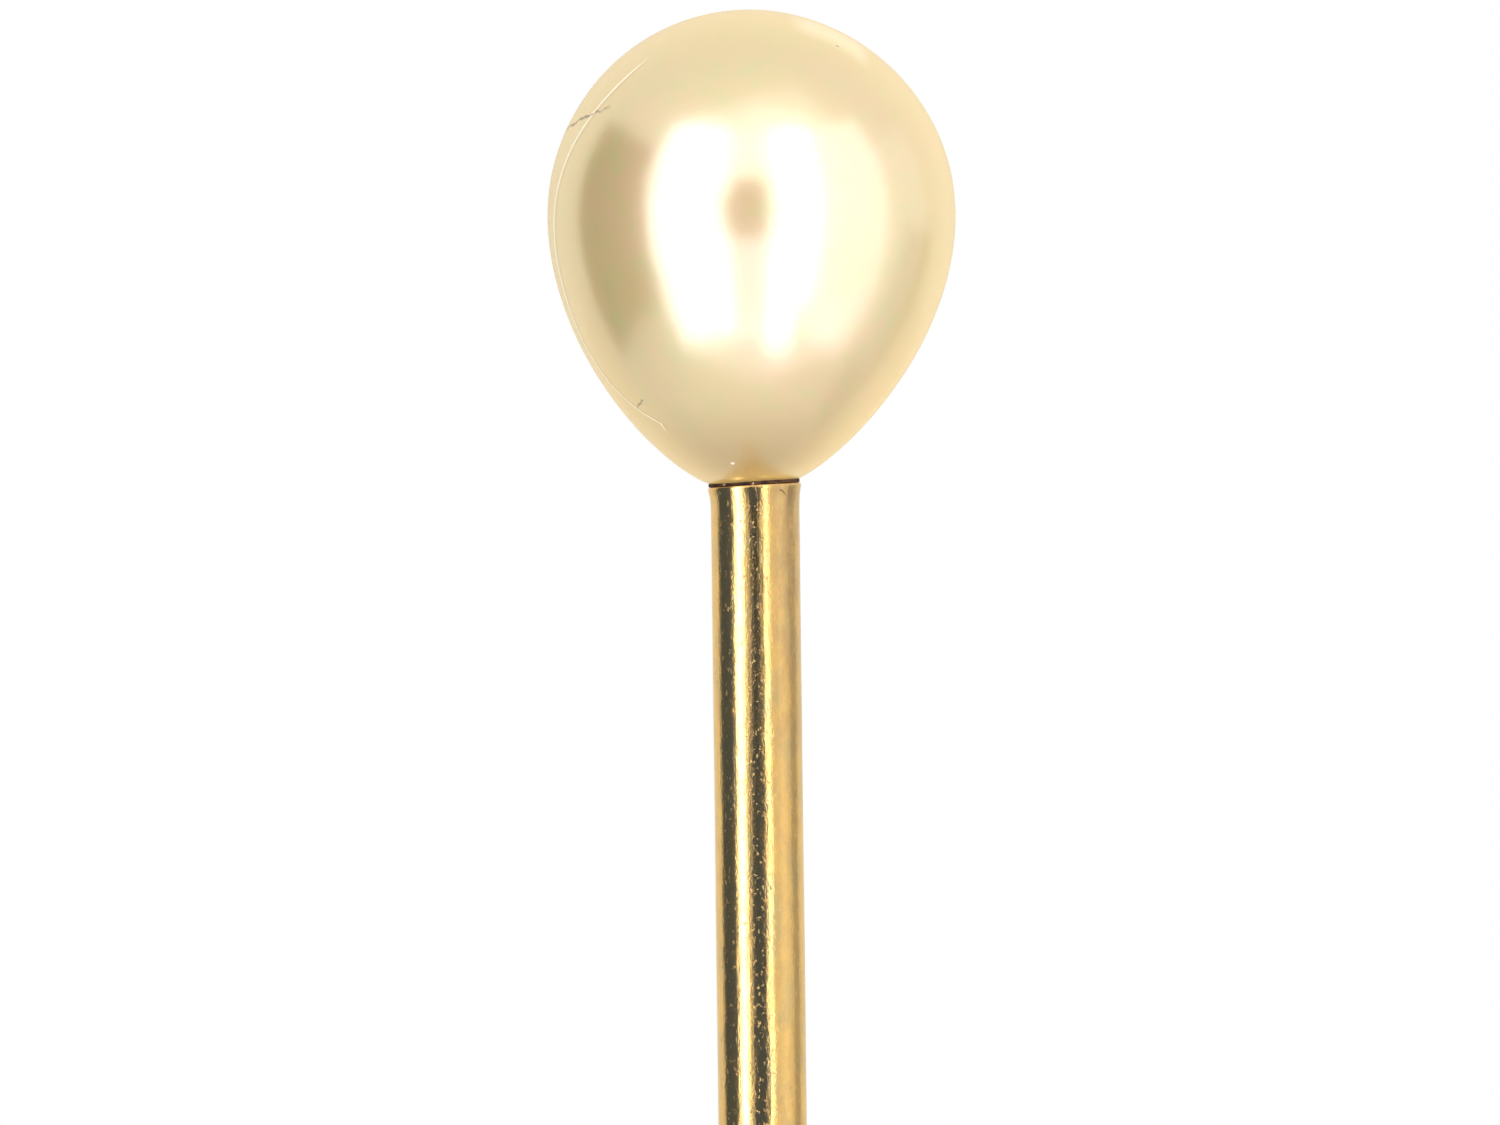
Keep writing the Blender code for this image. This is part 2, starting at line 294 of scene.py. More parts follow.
def pearlHalfWidth(height):
    shape = pearlShape
    share = 2 * (height - shape["foot"]) / (pearlTop - shape["foot"]) - 1
    swell = 1 + shape["topHeavy"] * share + shape["endDraw"] * share**2
    return shape["halfWidth"] * math.sqrt(max(0, 1 - share**2)) * swell


def pearlBow(height):
    shape = pearlShape
    return -shape["bow"] * ((height - shape["bowCentre"]) / shape["bowReach"]) ** 2


def pearlSag(height):
    # the lowest skin beds a little further into the cement
    return pearlShape["sag"] * (1 - smoothly(height, 0, pearlShape["sagReach"]))


def pearlUnderside(x, y):
    # height of the pearl's lower skin above a point near the seat
    low, high = pearlShape["foot"], 2.0
    for _ in range(24):
        middle = (low + high) / 2
        reach = math.hypot(x - pearlBow(middle), y / pearlShape["depthShare"])
        if pearlHalfWidth(middle) < reach:
            low = middle
        else:
            high = middle
    return middle - pearlSag(middle)


def makePearl(material):
    shape = pearlShape
    drill = shape["drill"]
    drillTop, drillFoot, drillSteps = shape["drillTop"], shape["drillFoot"], shape["drillSteps"]
    profile = [(0, drillTop)]
    for step in range(drillSteps + 1):
        profile.append((drill, drillTop + (drillFoot - drillTop) * step / drillSteps))
    for ring in range(shape["rings"] + 1):
        share = (1 - math.cos(math.pi * ring / shape["rings"])) / 2
        height = shape["foot"] + (pearlTop - shape["foot"]) * share
        radius = pearlHalfWidth(height)
        if radius > drill + 0.02 or ring > shape["rings"] / 2:
            profile.append((radius, height))
    bm = turned(profile, shape["sides"])
    for vert in bm.verts:
        radius = math.hypot(vert.co.x, vert.co.y)
        if radius < drill + 0.01 and vert.co.z < drillTop + 0.01:
            continue  # the drilled hole stays straight
        hold = smoothly(vert.co.z, 0.0, 0.5)
        wobble = noise.noise(vert.co * shape["unevenScale"]) * shape["unevenness"] * hold
        vert.co.x = vert.co.x * (1 + wobble / 3) + pearlBow(vert.co.z)
        vert.co.y = vert.co.y * (1 + wobble / 3) * shape["depthShare"]
        vert.co.z -= pearlSag(vert.co.z)
    return publish("pearlSkin", bm, material, "pin", "pearl", sharp=60)


pearlLook = {
    "cream": (0.472, 0.358, 0.172),
    "rose": (0.490, 0.345, 0.185),
    "leaf": (0.410, 0.372, 0.162),
    # painted shade colour for the pearl's lower part and beside the growth rim
    "foot": (0.320, 0.195, 0.052),
    # painted light: warm glow colour for the outline
    "edge": (0.84, 0.57, 0.20),
    "crack": (0.11, 0.07, 0.05),
    # painted highlight colour along the growth rim
    "rim": (1.0, 0.93, 0.74),
    # painted sheen colour for the top right
    "crescentSheen": (0.95, 0.86, 0.66),
    "tint": (1.0, 0.96, 0.92, 1),
    "growthAzimuth": -77,
    "growthHalf": 0.034,
    "growthMiddle": 2.97,
    "growthAbove": 3.26,
    "growthBelow": 2.05,
    "turnAbove": 28.5,  # degrees that the line turns in at its two ends
    "turnBelow": 26.6,
    "crackFrom": (-90, 5.17),  # azimuth in degrees and height in mm
    "crackTo": (-52, 5.53),
    "crackHalf": 0.016,
    "nickFrom": (-60, 1.14),
    "nickTo": (-52, 1.28),
    "nickHalf": 0.014,
}

# small marks: azimuth in degrees from the front, height in mm, radius, colour
pearlSpecks = (
    (-12, 2.80, 0.035, (0.95, 0.85, 0.30)),
    (-17, 0.34, 0.030, (0.95, 0.90, 0.78)),
    (47, 6.40, 0.030, (0.30, 0.17, 0.08)),
    (-100, 2.05, 0.025, (0.25, 0.14, 0.08)),
    (150, 4.6, 0.030, (0.40, 0.25, 0.12)),
    (205, 2.4, 0.025, (0.92, 0.86, 0.70)),
)


def pearlNacre(look):
    finish = Finish("pearlNacre")
    azimuth = finish.around(0.05) * (180 / math.pi)
    soft = finish.clouds(0.45, 2.0, 0.5)
    fine = finish.clouds(2.6, 4.0, 0.6)
    colour = finish.mix(finish.step(soft, 0.42, 0.62), look["cream"], look["rose"])
    colour = finish.mix(finish.step(fine, 0.46, 0.70) * 0.75, colour, look["leaf"])
    # painted shade: the colour darkens towards the pearl's foot, where its underside gets less light
    colour = finish.mix((1.0 - finish.step(finish.z, 0.1, 1.4)) * 0.95, colour, look["foot"])

    # painted light: the outline is painted warmer and brighter, most at the lower part, for light that has
    # come through the nacre
    facing = finish.add("ShaderNodeLayerWeight", inputs={"Blend": 0.5}, output="Facing")
    lower = 1.0 - finish.step(finish.z, 0.5, 4.2)
    colour = finish.mix(finish.step(facing, 0.32, 0.84) * (lower * 0.4 + 0.58), colour, look["edge"])

    # growth line: a fine raised rim that runs down the left and turns in at both ends, with a painted
    # highlight along the rim and painted shade beside it
    middle = look["growthMiddle"]
    above = ((finish.z - middle) * (1 / look["growthAbove"])).clamped() ** 2.3
    below = ((middle - finish.z) * (1 / look["growthBelow"])).clamped() ** 4.5
    target = above * look["turnAbove"] + below * look["turnBelow"] + look["growthAzimuth"]
    wander = (finish.clouds(0.8, 1.0) - 0.5) * 2.0
    growth = (azimuth - target - wander) * 0.05  # about mm along the skin
    ends = finish.step(finish.z, 0.72, 1.0) * (1.0 - finish.step(finish.z, 6.0, 6.3))
    rim = finish.line(growth, look["growthHalf"]) * ends
    shade = finish.line(growth - 0.075, 0.05, 2.2) * ends
    # painted shade beside the rim, then a painted highlight along it
    colour = finish.mix(shade * 0.35, colour, look["foot"])
    colour = finish.mix(rim * 0.75, colour, look["rim"])

    # hairline crack and a nick
    marks = []
    for start, end, half in (
        (look["crackFrom"], look["crackTo"], look["crackHalf"]),
        (look["nickFrom"], look["nickTo"], look["nickHalf"]),
    ):
        share = (azimuth - start[0]) * (1 / (end[0] - start[0]))
        shaky = (finish.clouds(5.0, 3.0, 0.7) - 0.5) * 0.16
        curve = share * (1.0 - share) * 0.10 * (end[1] - start[1])
        height = share * (end[1] - start[1]) + curve + shaky + start[1]
        within = finish.step(share, 0.0, 0.06) * (1.0 - finish.step(share, 0.9, 1.0))
        front = 1.0 - finish.step(finish.y, -0.4, 0.2)
        marks.append(finish.line(finish.z - height, half, 1.6) * within * front)
    patchy = finish.step(finish.clouds(6.0, 2.0), 0.34, 0.55)
    crack = (marks[0] * (0.45 + 0.55 * patchy) + marks[1] * 0.8).clamped()
    colour = finish.mix(crack * 0.9, colour, look["crack"])

    # painted sheen: a pale crescent painted at the top right
    crescentSheen = finish.line(finish.y + 0.80, 0.26, 2.2) * finish.step(finish.z, 5.6, 6.1)
    crescentSheen = crescentSheen * finish.step(finish.x, 0.5, 0.9) * (1.0 - finish.step(finish.x, 1.55, 1.8))
    colour = finish.mix(crescentSheen * 0.4, colour, look["crescentSheen"])

    for speckAzimuth, height, radius, tone in pearlSpecks:
        angle = math.radians(speckAzimuth)
        reach = pearlHalfWidth(height)
        spot = (reach * math.sin(angle), -reach * math.cos(angle) * pearlShape["depthShare"], height)
        settings = {"operation": "DISTANCE"}
        away = finish.add("ShaderNodeVectorMath", settings, {0: finish.place, 1: spot}, "Value")
        mask = 1.0 - finish.step(away, radius * 0.5, radius * 1.5)
        colour = finish.mix(mask * 0.85, colour, tone)

    dimples = finish.clouds(1.1, 2.0, 0.4)
    orange = finish.clouds(11.0, 3.0, 0.6)
    relief = dimples * 0.6 + orange * 0.05 + rim * 0.5 - crack * 1.2
    normal = finish.bump(relief, 0.35, 0.00004)
    roughness = 0.215 + orange * 0.04 + crack * 0.3
    # the clear outer layer thins out towards the outline
    coat = (1.0 - crack * 0.8) * (1.0 - finish.step(facing, 0.6, 0.95) * 0.7)
    return finish.shade(
        Base_Color=colour,
        Roughness=roughness,
        Normal=normal,
        IOR=2.25,
        Specular_IOR_Level=0.95,
        Specular_Tint=look["tint"],
        Coat_Weight=coat,
        Coat_Roughness=0.21,
        Coat_IOR=1.75,
        Subsurface_Weight=0.25,
        Subsurface_Radius=(1.0, 0.6, 0.3),
        Subsurface_Scale=0.0006,
    )


pearlSkin = makePearl(pearlNacre(pearlLook))
print("pearl made")


cementShape = {
    "ragged": 0.022,
    "leftBulge": 0.045,
    "gap": 0.002,
    "rimLevel": 0.014,
    "rimTilt": 0.031,
    "sides": 144,
    "sleeveGap": 0.015,
    "sleeveFoot": 0.02,
    "bore": 0.352,
    "depth": -0.15,
    "roof": 0.22,  # cement above the peg
    "corner": 0.03,
    # radius and height round the visible seam, from the pearl's side down to the cup
    "seam": (
        (0.52, 0.03), (0.56, 0.03), (0.60, 0.03), (0.63, 0.03), (0.648, 0.03), (0.652, 0.02),
        (0.652, 0.012), (0.648, 0.006), (0.63, 0.004), (0.60, 0.004), (0.57, -0.02), (0.45, -0.09),
    ),
    "cupCorner": 0.37,
    "dark": (0.018, 0.009, 0.010),
    "brown": (0.075, 0.034, 0.018),
    "glint": (0.75, 0.55, 0.33),
}


def rimLift(x):
    # the stem's end is cut slightly out of square
    return cementShape["rimLevel"] + cementShape["rimTilt"] * x / 0.65


def makeCement(material):
    shape = cementShape
    sleeve = pearlShape["drill"] - shape["sleeveGap"]
    top, corner = highOf("pearl_cement"), shape["corner"]
    shoulder = top - corner
    profile = [(0, top), (sleeve - corner, top), (sleeve, shoulder)]
    profile += [(sleeve, shoulder - shoulder * step / 8) for step in range(1, 8)]
    profile += [(sleeve, shape["sleeveFoot"]), *shape["seam"]]
    profile += [(shape["cupCorner"], shape["depth"]), (shape["bore"], shape["depth"])]
    profile += [(shape["bore"], top - shape["roof"]), (0, top - shape["roof"])]
    bm = turned(profile, shape["sides"])
    gap = shape["gap"]
    for vert in bm.verts:
        x, y = vert.co.x, vert.co.y
        radius = math.hypot(x, y)
        if vert.co.z > 0.5 or radius < 0.5:
            continue
        ragged = noise.noise(Vector((x, y, 0)) * 6) * shape["ragged"]
        leftward = max(0, -x / radius) ** 6 * shape["leftBulge"]
        grow = 1 + (ragged + leftward) * smoothly(radius, 0.58, 0.65)
        x, y = x * grow, y * grow
        if vert.co.z > -0.005:
            ceiling = pearlUnderside(x, y) - gap
            floor = rimLift(x) + gap
            share = min(1, max(0, (vert.co.z - 0.004) / 0.026))
            vert.co.z = floor + (ceiling - floor) * share
        vert.co.x, vert.co.y = x, y
    return publish("seatCement", bm, material, "pin", "pearl_cement", sharp=50)


def darkCement(look):
    finish = Finish("darkCement")
    grain = finish.clouds(14.0, 5.0, 0.7)
    blobs = finish.clouds(5.0, 2.0, 0.5)
    colour = finish.mix(finish.step(blobs, 0.4, 0.65), look["dark"], look["brown"])
    glints = finish.step(finish.clouds(22.0, 2.0, 0.6), 0.64, 0.72)
    colour = finish.mix(glints * 0.8, colour, look["glint"])
    normal = finish.bump(grain, 0.6, 0.00003)
    return finish.shade(
        Base_Color=colour, Roughness=0.65 + grain * 0.2, Normal=normal, Specular_IOR_Level=0.15,
    )


seatCement = makeCement(darkCement(cementShape))
print("cement made")


stemShape = {
    "radius": 0.65,
    "flare": 0.03,
    "cup": 0.58,
    "cupDepth": 0.16,
    "bore": 0.35,
    "boreDepth": 2.5,
    "pointLength": 9.0,
    "pointRings": 24,
    "coarseDown": -14,  # below this the rings are far apart
    "coarseRings": 60,
    "fineRings": 108,
    "sides": 144,
    "dents": 0.0035,
    "burr": 0.020,
    "burrAzimuth": -75,
    "sink": 0.012,
    "nickAzimuth": 32,
    "nickHeight": -0.24,
    "nickReach": 0.14,
    "nickDepth": 0.012,
}


def makeStem(material):
    shape = stemShape
    radius = shape["radius"]
    tip = lowOf("stem")
    profile = [(0, tip)]
    pointRings = shape["pointRings"]
    for ring in range(pointRings + 1):
        share = 0.02 + 0.98 * ring / pointRings
        along = shape["pointLength"] * ring / pointRings
        profile.append((radius * (1 - (1 - share) ** 1.5), tip + 0.01 + along))
    body = tip + shape["pointLength"] + 0.01
    for low, high, rings in (
        (body, shape["coarseDown"], shape["coarseRings"]),
        (shape["coarseDown"], -0.5, shape["fineRings"]),
    ):
        profile += [(radius, low + (high - low) * ring / rings) for ring in range(1, rings + 1)]
    flared = radius + shape["flare"]
    cup, bore = shape["cup"], shape["bore"]
    profile += [(radius, -0.35), (radius + 0.003, -0.25), (radius + 0.009, -0.17)]
    profile += [(radius + 0.018, -0.11), (flared - 0.004, -0.07), (flared, -0.045)]
    profile += [(flared, -0.02), (flared - 0.008, -0.006), (flared - 0.022, 0.0)]
    profile += [(cup + 0.02, 0.0), (cup + 0.006, -0.006), (cup, -0.02)]
    profile += [(0.46, -shape["cupDepth"] + 0.06), (bore + 0.02, -shape["cupDepth"])]
    profile += [(bore, -shape["cupDepth"] - 0.02), (bore, -shape["boreDepth"])]
    profile += [(0, -shape["boreDepth"] - 0.2)]
    bm = turned(profile, shape["sides"])
    for vert in bm.verts:
        x, y, z = vert.co
        reach = math.hypot(x, y)
        if reach < 0.5 or z < body:
            continue
        angle = math.atan2(x, -y)
        # the rim is burred most at the left, and the end is cut out of square
        towardsBurr = max(0, math.cos(angle - math.radians(shape["burrAzimuth"])))
        burr = smoothly(z, -0.3, -0.03) * towardsBurr * shape["burr"]
        sink = smoothly(z, -0.3, -0.05) * (0.6 - 0.4 * math.sin(angle)) * -shape["sink"]
        dent = noise.noise(Vector((x * 2.0, y * 2.0, z * 0.55))) * shape["dents"]
        scale = 1 + (burr + sink + dent) / reach
        vert.co.x, vert.co.y = x * scale, y * scale
        vert.co.z = z + rimLift(x) * smoothly(z, -0.4, -0.02)
        # a small nick at the right of the rim
        across = (angle - math.radians(shape["nickAzimuth"])) * radius
        fromNick = math.hypot(across, z - shape["nickHeight"])
        if fromNick < shape["nickReach"]:
            pressed = (1 - fromNick / shape["nickReach"]) ** 2 * shape["nickDepth"]
            vert.co.x *= 1 - pressed / reach
            vert.co.y *= 1 - pressed / reach
    return publish("stemWire", bm, material, "pin", "stem", sharp=40)


goldLook = {
    "gold": (0.885, 0.575, 0.215),
    "worn": (0.78, 0.49, 0.21),
    "tarnish": (0.66, 0.50, 0.25),
    "darkerTopRight": (0.60, 0.385, 0.20),
    "pit": (0.12, 0.09, 0.05),
    "tint": (1.0, 0.95, 0.88, 1),
    # how often each pattern repeats round and along the wire, and where it starts
    "lines": ((26.0, 0.35, 1.0), (0, 0, 0)),
    "waves": ((3.4, 0.9, 1.0), (0, 0, 0)),
    "mottle": ((5.0, 2.4, 1.0), (0, 0, 0)),
    "pits": ((15.0, 11.0, 1.0), (0, 0, 0)),
    "grit": ((30.0, 20.0, 1.0), (0, 0, 0)),
    "dents": ((8.0, 3.6, 1.0), (0, 0, 0)),
    "stains": ((3.0, 1.5, 1.0), (7.0, 2.0, 0.0)),
    "flecks": ((17.0, 6.5, 1.0), (3.0, 5.0, 0.0)),
}


def stemGold(look):
    finish = Finish("stemGold")
    around = finish.around()
    # draw lines run along the wire, so they vary quickly round it and slowly along it
    flat = finish.add("ShaderNodeCombineXYZ", inputs={0: around * 0.65, 1: finish.z, 2: 0.0})

    def pattern(name, detail, rough):
        scale, start = look[name]
        inputs = {"Vector": flat, "Scale": scale, "Location": start}
        return finish.clouds(1.0, detail, rough, finish.add("ShaderNodeMapping", inputs=inputs))

    lines = pattern("lines", 3.0, 0.6)
    waves = pattern("waves", 2.0, 0.5)
    mottle = pattern("mottle", 4.0, 0.6)
    pitMask = finish.step(pattern("pits", 3.0, 0.6), 0.62, 0.72)
    grit = pattern("grit", 4.0, 0.7)
    dents = pattern("dents", 3.0, 0.6)
    stains = pattern("stains", 3.0, 0.6)
    # most of the pits face the front
    pitMask = pitMask * (1.0 - finish.step(abs(around + 0.05), 0.16, 0.42) * 0.8)
    colour = finish.mix(finish.step(mottle, 0.40, 0.68) * 0.8, look["gold"], look["worn"])
    colour = finish.mix(finish.step(stains, 0.44, 0.66) * 0.65, colour, look["tarnish"])
    colour = finish.mix(pitMask * 0.55, colour, look["pit"])
    # darker towards the top on the right side
    darkerTopRight = finish.step(finish.z, -5.5, -0.8) * finish.step(around, 0.33, 0.62)
    colour = finish.mix(darkerTopRight * (0.35 + 0.4 * finish.step(mottle, 0.38, 0.6)), colour, look["darkerTopRight"])
    # a short curved scratch near the rim on the right
    along = (around - 0.56) * (1 / 0.22)
    scratch = finish.line(finish.z + 0.065 + along * along * 0.10, 0.010)
    scratch = scratch * finish.step(along, 0.0, 0.15) * (1.0 - finish.step(along, 0.85, 1.0))
    colour = finish.mix(scratch * 0.7, colour, look["pit"])
    relief = lines * 0.20 + waves * 0.9 + grit * 0.30 + dents * 0.6 - pitMask * 0.7 - scratch * 0.9
    normal = finish.bump(relief, 0.7, 0.00001)
    fleckMask = finish.step(pattern("flecks", 3.0, 0.65), 0.57, 0.70)
    roughness = 0.11 + finish.step(mottle, 0.45, 0.8) * 0.08 + pitMask * 0.15 + fleckMask * 0.30
    return finish.shade(
        Base_Color=colour, Metallic=1.0, Roughness=roughness, Normal=normal,
        Specular_Tint=look["tint"], Coat_Weight=0.7, Coat_Roughness=0.55,
    )


stemWire = makeStem(stemGold(goldLook))
print("stem made")


# sizes that several pieces of the clutch share, in mm
clutchShape = {
    "entry": 0.75,
    "sides": 120,
}

barrelShape = {
    "radius": 2.2,
    "bore": 1.9,
    "lip": 0.4,
    "coneTop": 1.048,
    "coneLength": 4.0,
    "shoulder": 0.7,
    "edge": 0.12,
    "boreEdge": 0.05,
    "grooves": (1.6, 8.4),
    "grooveHalf": 0.15,
    "grooveDepth": 0.1,
}


def makeBarrel(material):
    shape = barrelShape
    top, bottom = highOf("clutch_barrel"), lowOf("clutch_barrel")
    outer, bore, entry = shape["radius"], shape["bore"], clutchShape["entry"]
    shoulder, edge, boreEdge = shape["shoulder"], shape["edge"], shape["boreEdge"]
    profile = arc((entry + edge, top - edge), edge, 180, 90, 6)
    profile += [(1.05, top), (1.3, top - 0.004)]
    profile += arc((outer - shoulder, top - shoulder), shoulder, 88, 0, 16)
    for drop in shape["grooves"]:
        middle = top - drop
        half, floor = shape["grooveHalf"], outer - shape["grooveDepth"]
        profile += [(outer, middle + half + 0.02), (outer - 0.006, middle + half)]
        profile += [(floor + 0.01, middle + half * 0.6), (floor, middle + half * 0.4)]
        profile += [(floor, middle - half * 0.4), (floor + 0.01, middle - half * 0.6)]
        profile += [(outer - 0.006, middle - half), (outer, middle - half - 0.02)]
    profile += arc((outer - edge, bottom + edge), edge, 0, -90, 6)
    profile += arc((bore + boreEdge, bottom + boreEdge), boreEdge, -90, -180, 4)
    profile += [(bore, top - shape["lip"] - shape["coneLength"])]
    profile += [(shape["coneTop"], top - shape["lip"]), (entry, top - shape["lip"])]
    bm = turned(profile, clutchShape["sides"], loop=True)
    return publish("clutchBarrel", bm, material, "clutch_shell", "clutch_barrel")


endRingShape = {
    "bore": 1.08,
    "edge": 0.05,
    "grooveOut": 1.62,
    "grooveIn": 1.34,
    "grooveSlope": 0.04,
    "grooveDepth": 0.05,
}


def makeEndRing(material):
    shape = endRingShape
    low, high = lowOf("clutch_end_ring"), highOf("clutch_end_ring")
    outer, bore, edge = halfWidthOf("clutch_end_ring"), shape["bore"], shape["edge"]
    slope, floor = shape["grooveSlope"], low + shape["grooveDepth"]
    profile = arc((outer - edge, high - edge), edge, 90, 0, 4)
    profile += arc((outer - edge, low + edge), edge, 0, -90, 4)
    profile += [(shape["grooveOut"], low), (shape["grooveOut"] - slope, floor)]
    profile += [(shape["grooveIn"] + slope, floor), (shape["grooveIn"], low)]
    profile += arc((bore + edge, low + edge), edge, -90, -180, 4)
    profile += arc((bore + edge, high - edge), edge, 180, 90, 4)
    bm = turned(profile, clutchShape["sides"], loop=True)
    return publish("clutchEndRing", bm, material, "clutch_shell", "clutch_end_ring")


cageShape = {
    "radius": 1.0,
    "flange": 1.5,
    "flangeDrop": 2.2,
    "flangeThick": 0.4,
    "edge": 0.06,
    "pocketDrop": 1.2,
    "pocketIn": 0.31,
    "pocketOut": 0.435,
    "cutterReach": 0.2,
}


def makeCage(material):
    # a tube with a spring flange, and three tapered pockets that the balls sit in
    shape = cageShape
    top, bottom = highOf("clutch_cage"), lowOf("clutch_cage")
    flangeTop = top - shape["flangeDrop"]
    flangeLow = flangeTop - shape["flangeThick"]
    entry, outer, flange, edge = clutchShape["entry"], shape["radius"], shape["flange"], shape["edge"]
    profile = arc((entry + edge, top - edge), edge, 180, 90, 3)
    profile += arc((outer - edge, top - edge), edge, 90, 0, 3)
    profile += [(outer, flangeTop + 0.05), (outer + 0.05, flangeTop)]
    profile += arc((flange - edge, flangeTop - edge), edge, 90, 0, 4)
    profile += arc((flange - edge, flangeLow + edge), edge, 0, -90, 4)
    profile += [(outer + 0.04, flangeLow), (outer, flangeLow - 0.04)]
    profile += [(outer, bottom + 0.04), (outer - 0.04, bottom), (entry, bottom)]
    bm = turned(profile, clutchShape["sides"], loop=True)
    cage = publish("clutchCage", bm, material, "clutch_plunger", "clutch_cage")
    cutters = bmesh.new()
    wall, reach = outer - entry, shape["cutterReach"]
    slope = (shape["pocketOut"] - shape["pocketIn"]) / wall
    for number in range(3):
        made = bmesh.ops.create_cone(
            cutters, cap_ends=True, segments=48, radius1=shape["pocketIn"] - reach * slope,
            radius2=shape["pocketOut"] + reach * slope, depth=wall + 2 * reach,
        )
        out = Matrix.Translation(((outer + entry) / 2, 0, top - shape["pocketDrop"]))
        flat = Matrix.Rotation(math.pi / 2, 4, "Y")
        around = Matrix.Rotation(ballAngle(number), 4, "Z")
        bmesh.ops.transform(cutters, matrix=around @ out @ flat, verts=made["verts"])
    bmesh.ops.scale(cutters, vec=(mm, mm, mm), verts=cutters.verts)
    cutterMesh = bpy.data.meshes.new("pocketCutter")
    cutters.to_mesh(cutterMesh)
    cutters.free()
    cutter = bpy.data.objects.new("pocketCutter", cutterMesh)
    bpy.context.scene.collection.objects.link(cutter)
    boolean = cage.modifiers.new("pockets", "BOOLEAN")
    boolean.operation = "DIFFERENCE"
    boolean.object = cutter
    graph = bpy.context.evaluated_depsgraph_get()
    carved = bpy.data.meshes.new_from_object(cage.evaluated_get(graph))
    cage.modifiers.clear()
    cage.data = carved
    carved.set_sharp_from_angle(angle=math.radians(35))
    bpy.data.objects.remove(cutter, do_unlink=True)
    return cage


def ballAngle(number):
    return math.pi / 2 + fullTurn * number / 3


ballShape = {
    "orbit": 1.065,
    "radius": 0.4,
    "drop": 2.5,  # below the barrel's top
    "subdivisions": 5,
}


def makeBalls(material):
    made = []
    shape = ballShape
    height = highOf("clutch_barrel") - shape["drop"]
    for number in range(3):
        bm = bmesh.new()
        bmesh.ops.create_icosphere(bm, subdivisions=shape["subdivisions"], radius=shape["radius"])
        angle = ballAngle(number)
        place = (shape["orbit"] * math.cos(angle), shape["orbit"] * math.sin(angle), height)
        bmesh.ops.translate(bm, vec=place, verts=bm.verts)
        name = f"gripBall{number + 1}"
        body, node = f"grip_ball_{number + 1}", f"clutch_ball_{number + 1}"
        made.append(publish(name, bm, material, body, node, sharp=180))
    return made


springShape = {
    "radius": 1.28,
    "wire": 0.12,
    "closedRise": 0.28,
    "openTurns": 5.5,
    "turnSteps": 48,
    "wireSides": 16,
    "travel": 0.9,
}


def makeSpring(material):
    # one nearly closed turn at each end and open turns between, each stretch a spin with a rise
    shape = springShape
    wire, radius, closed = shape["wire"], shape["radius"], shape["closedRise"]
    low, high = lowOf("clutch_spring") + wire, highOf("clutch_spring") - wire
    bm = bmesh.new()
    bmesh.ops.create_circle(bm, cap_ends=True, radius=wire, segments=shape["wireSides"])
    bmesh.ops.rotate(bm, cent=(0, 0, 0), matrix=Matrix.Rotation(math.pi / 2, 3, "X"), verts=bm.verts)
    bmesh.ops.translate(bm, vec=(radius, 0, low), verts=bm.verts)
    end = list(bm.faces)
    for turns, rise in ((1, closed), (shape["openTurns"], high - low - 2 * closed), (1, closed)):
        steps = round(turns * shape["turnSteps"])
        done = bmesh.ops.spin(
            bm, geom=end, cent=(0, 0, 0), axis=(0, 0, 1), dvec=(0, 0, rise / steps),
            angle=fullTurn * turns, steps=steps, use_merge=False,
        )
        last = [item for item in done["geom_last"] if isinstance(item, bmesh.types.BMFace)]
        if turns != 1 or end[0].calc_center_median().z > low + 0.01:
            bmesh.ops.delete(bm, geom=end, context="FACES_ONLY")
        end = last
    bmesh.ops.remove_doubles(bm, verts=bm.verts, dist=1e-4)
    bmesh.ops.recalc_face_normals(bm, faces=bm.faces)
    spring = publish("clutchSpring", bm, material, "clutch_shell", "clutch_spring")
    # its lower end stays on the end ring while the cage's flange presses it down; the share of its length
    # left then is worked out here but not applied, and the spring gets its own copy of its mesh
    length = high - low + 2 * wire
    keep = (length - shape["travel"]) / length
    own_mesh(spring)
    return spring


knobShape = {
    "socket": 1.03,
    "floor": 1.5,  # height of the room for the point above the knob's end
    "step": 3.5,
    "dimple": 0.15,
    "gripDrop": 0.5,
    "gripFoot": 1.7,
    "edge": 0.15,
    "socketEdge": 0.06,
    "dome": 1.2,
    "flutes": 18,
    "fluteDepth": 0.09,
    "fluteRunOut": 0.35,
    "fluteSides": 12,
}


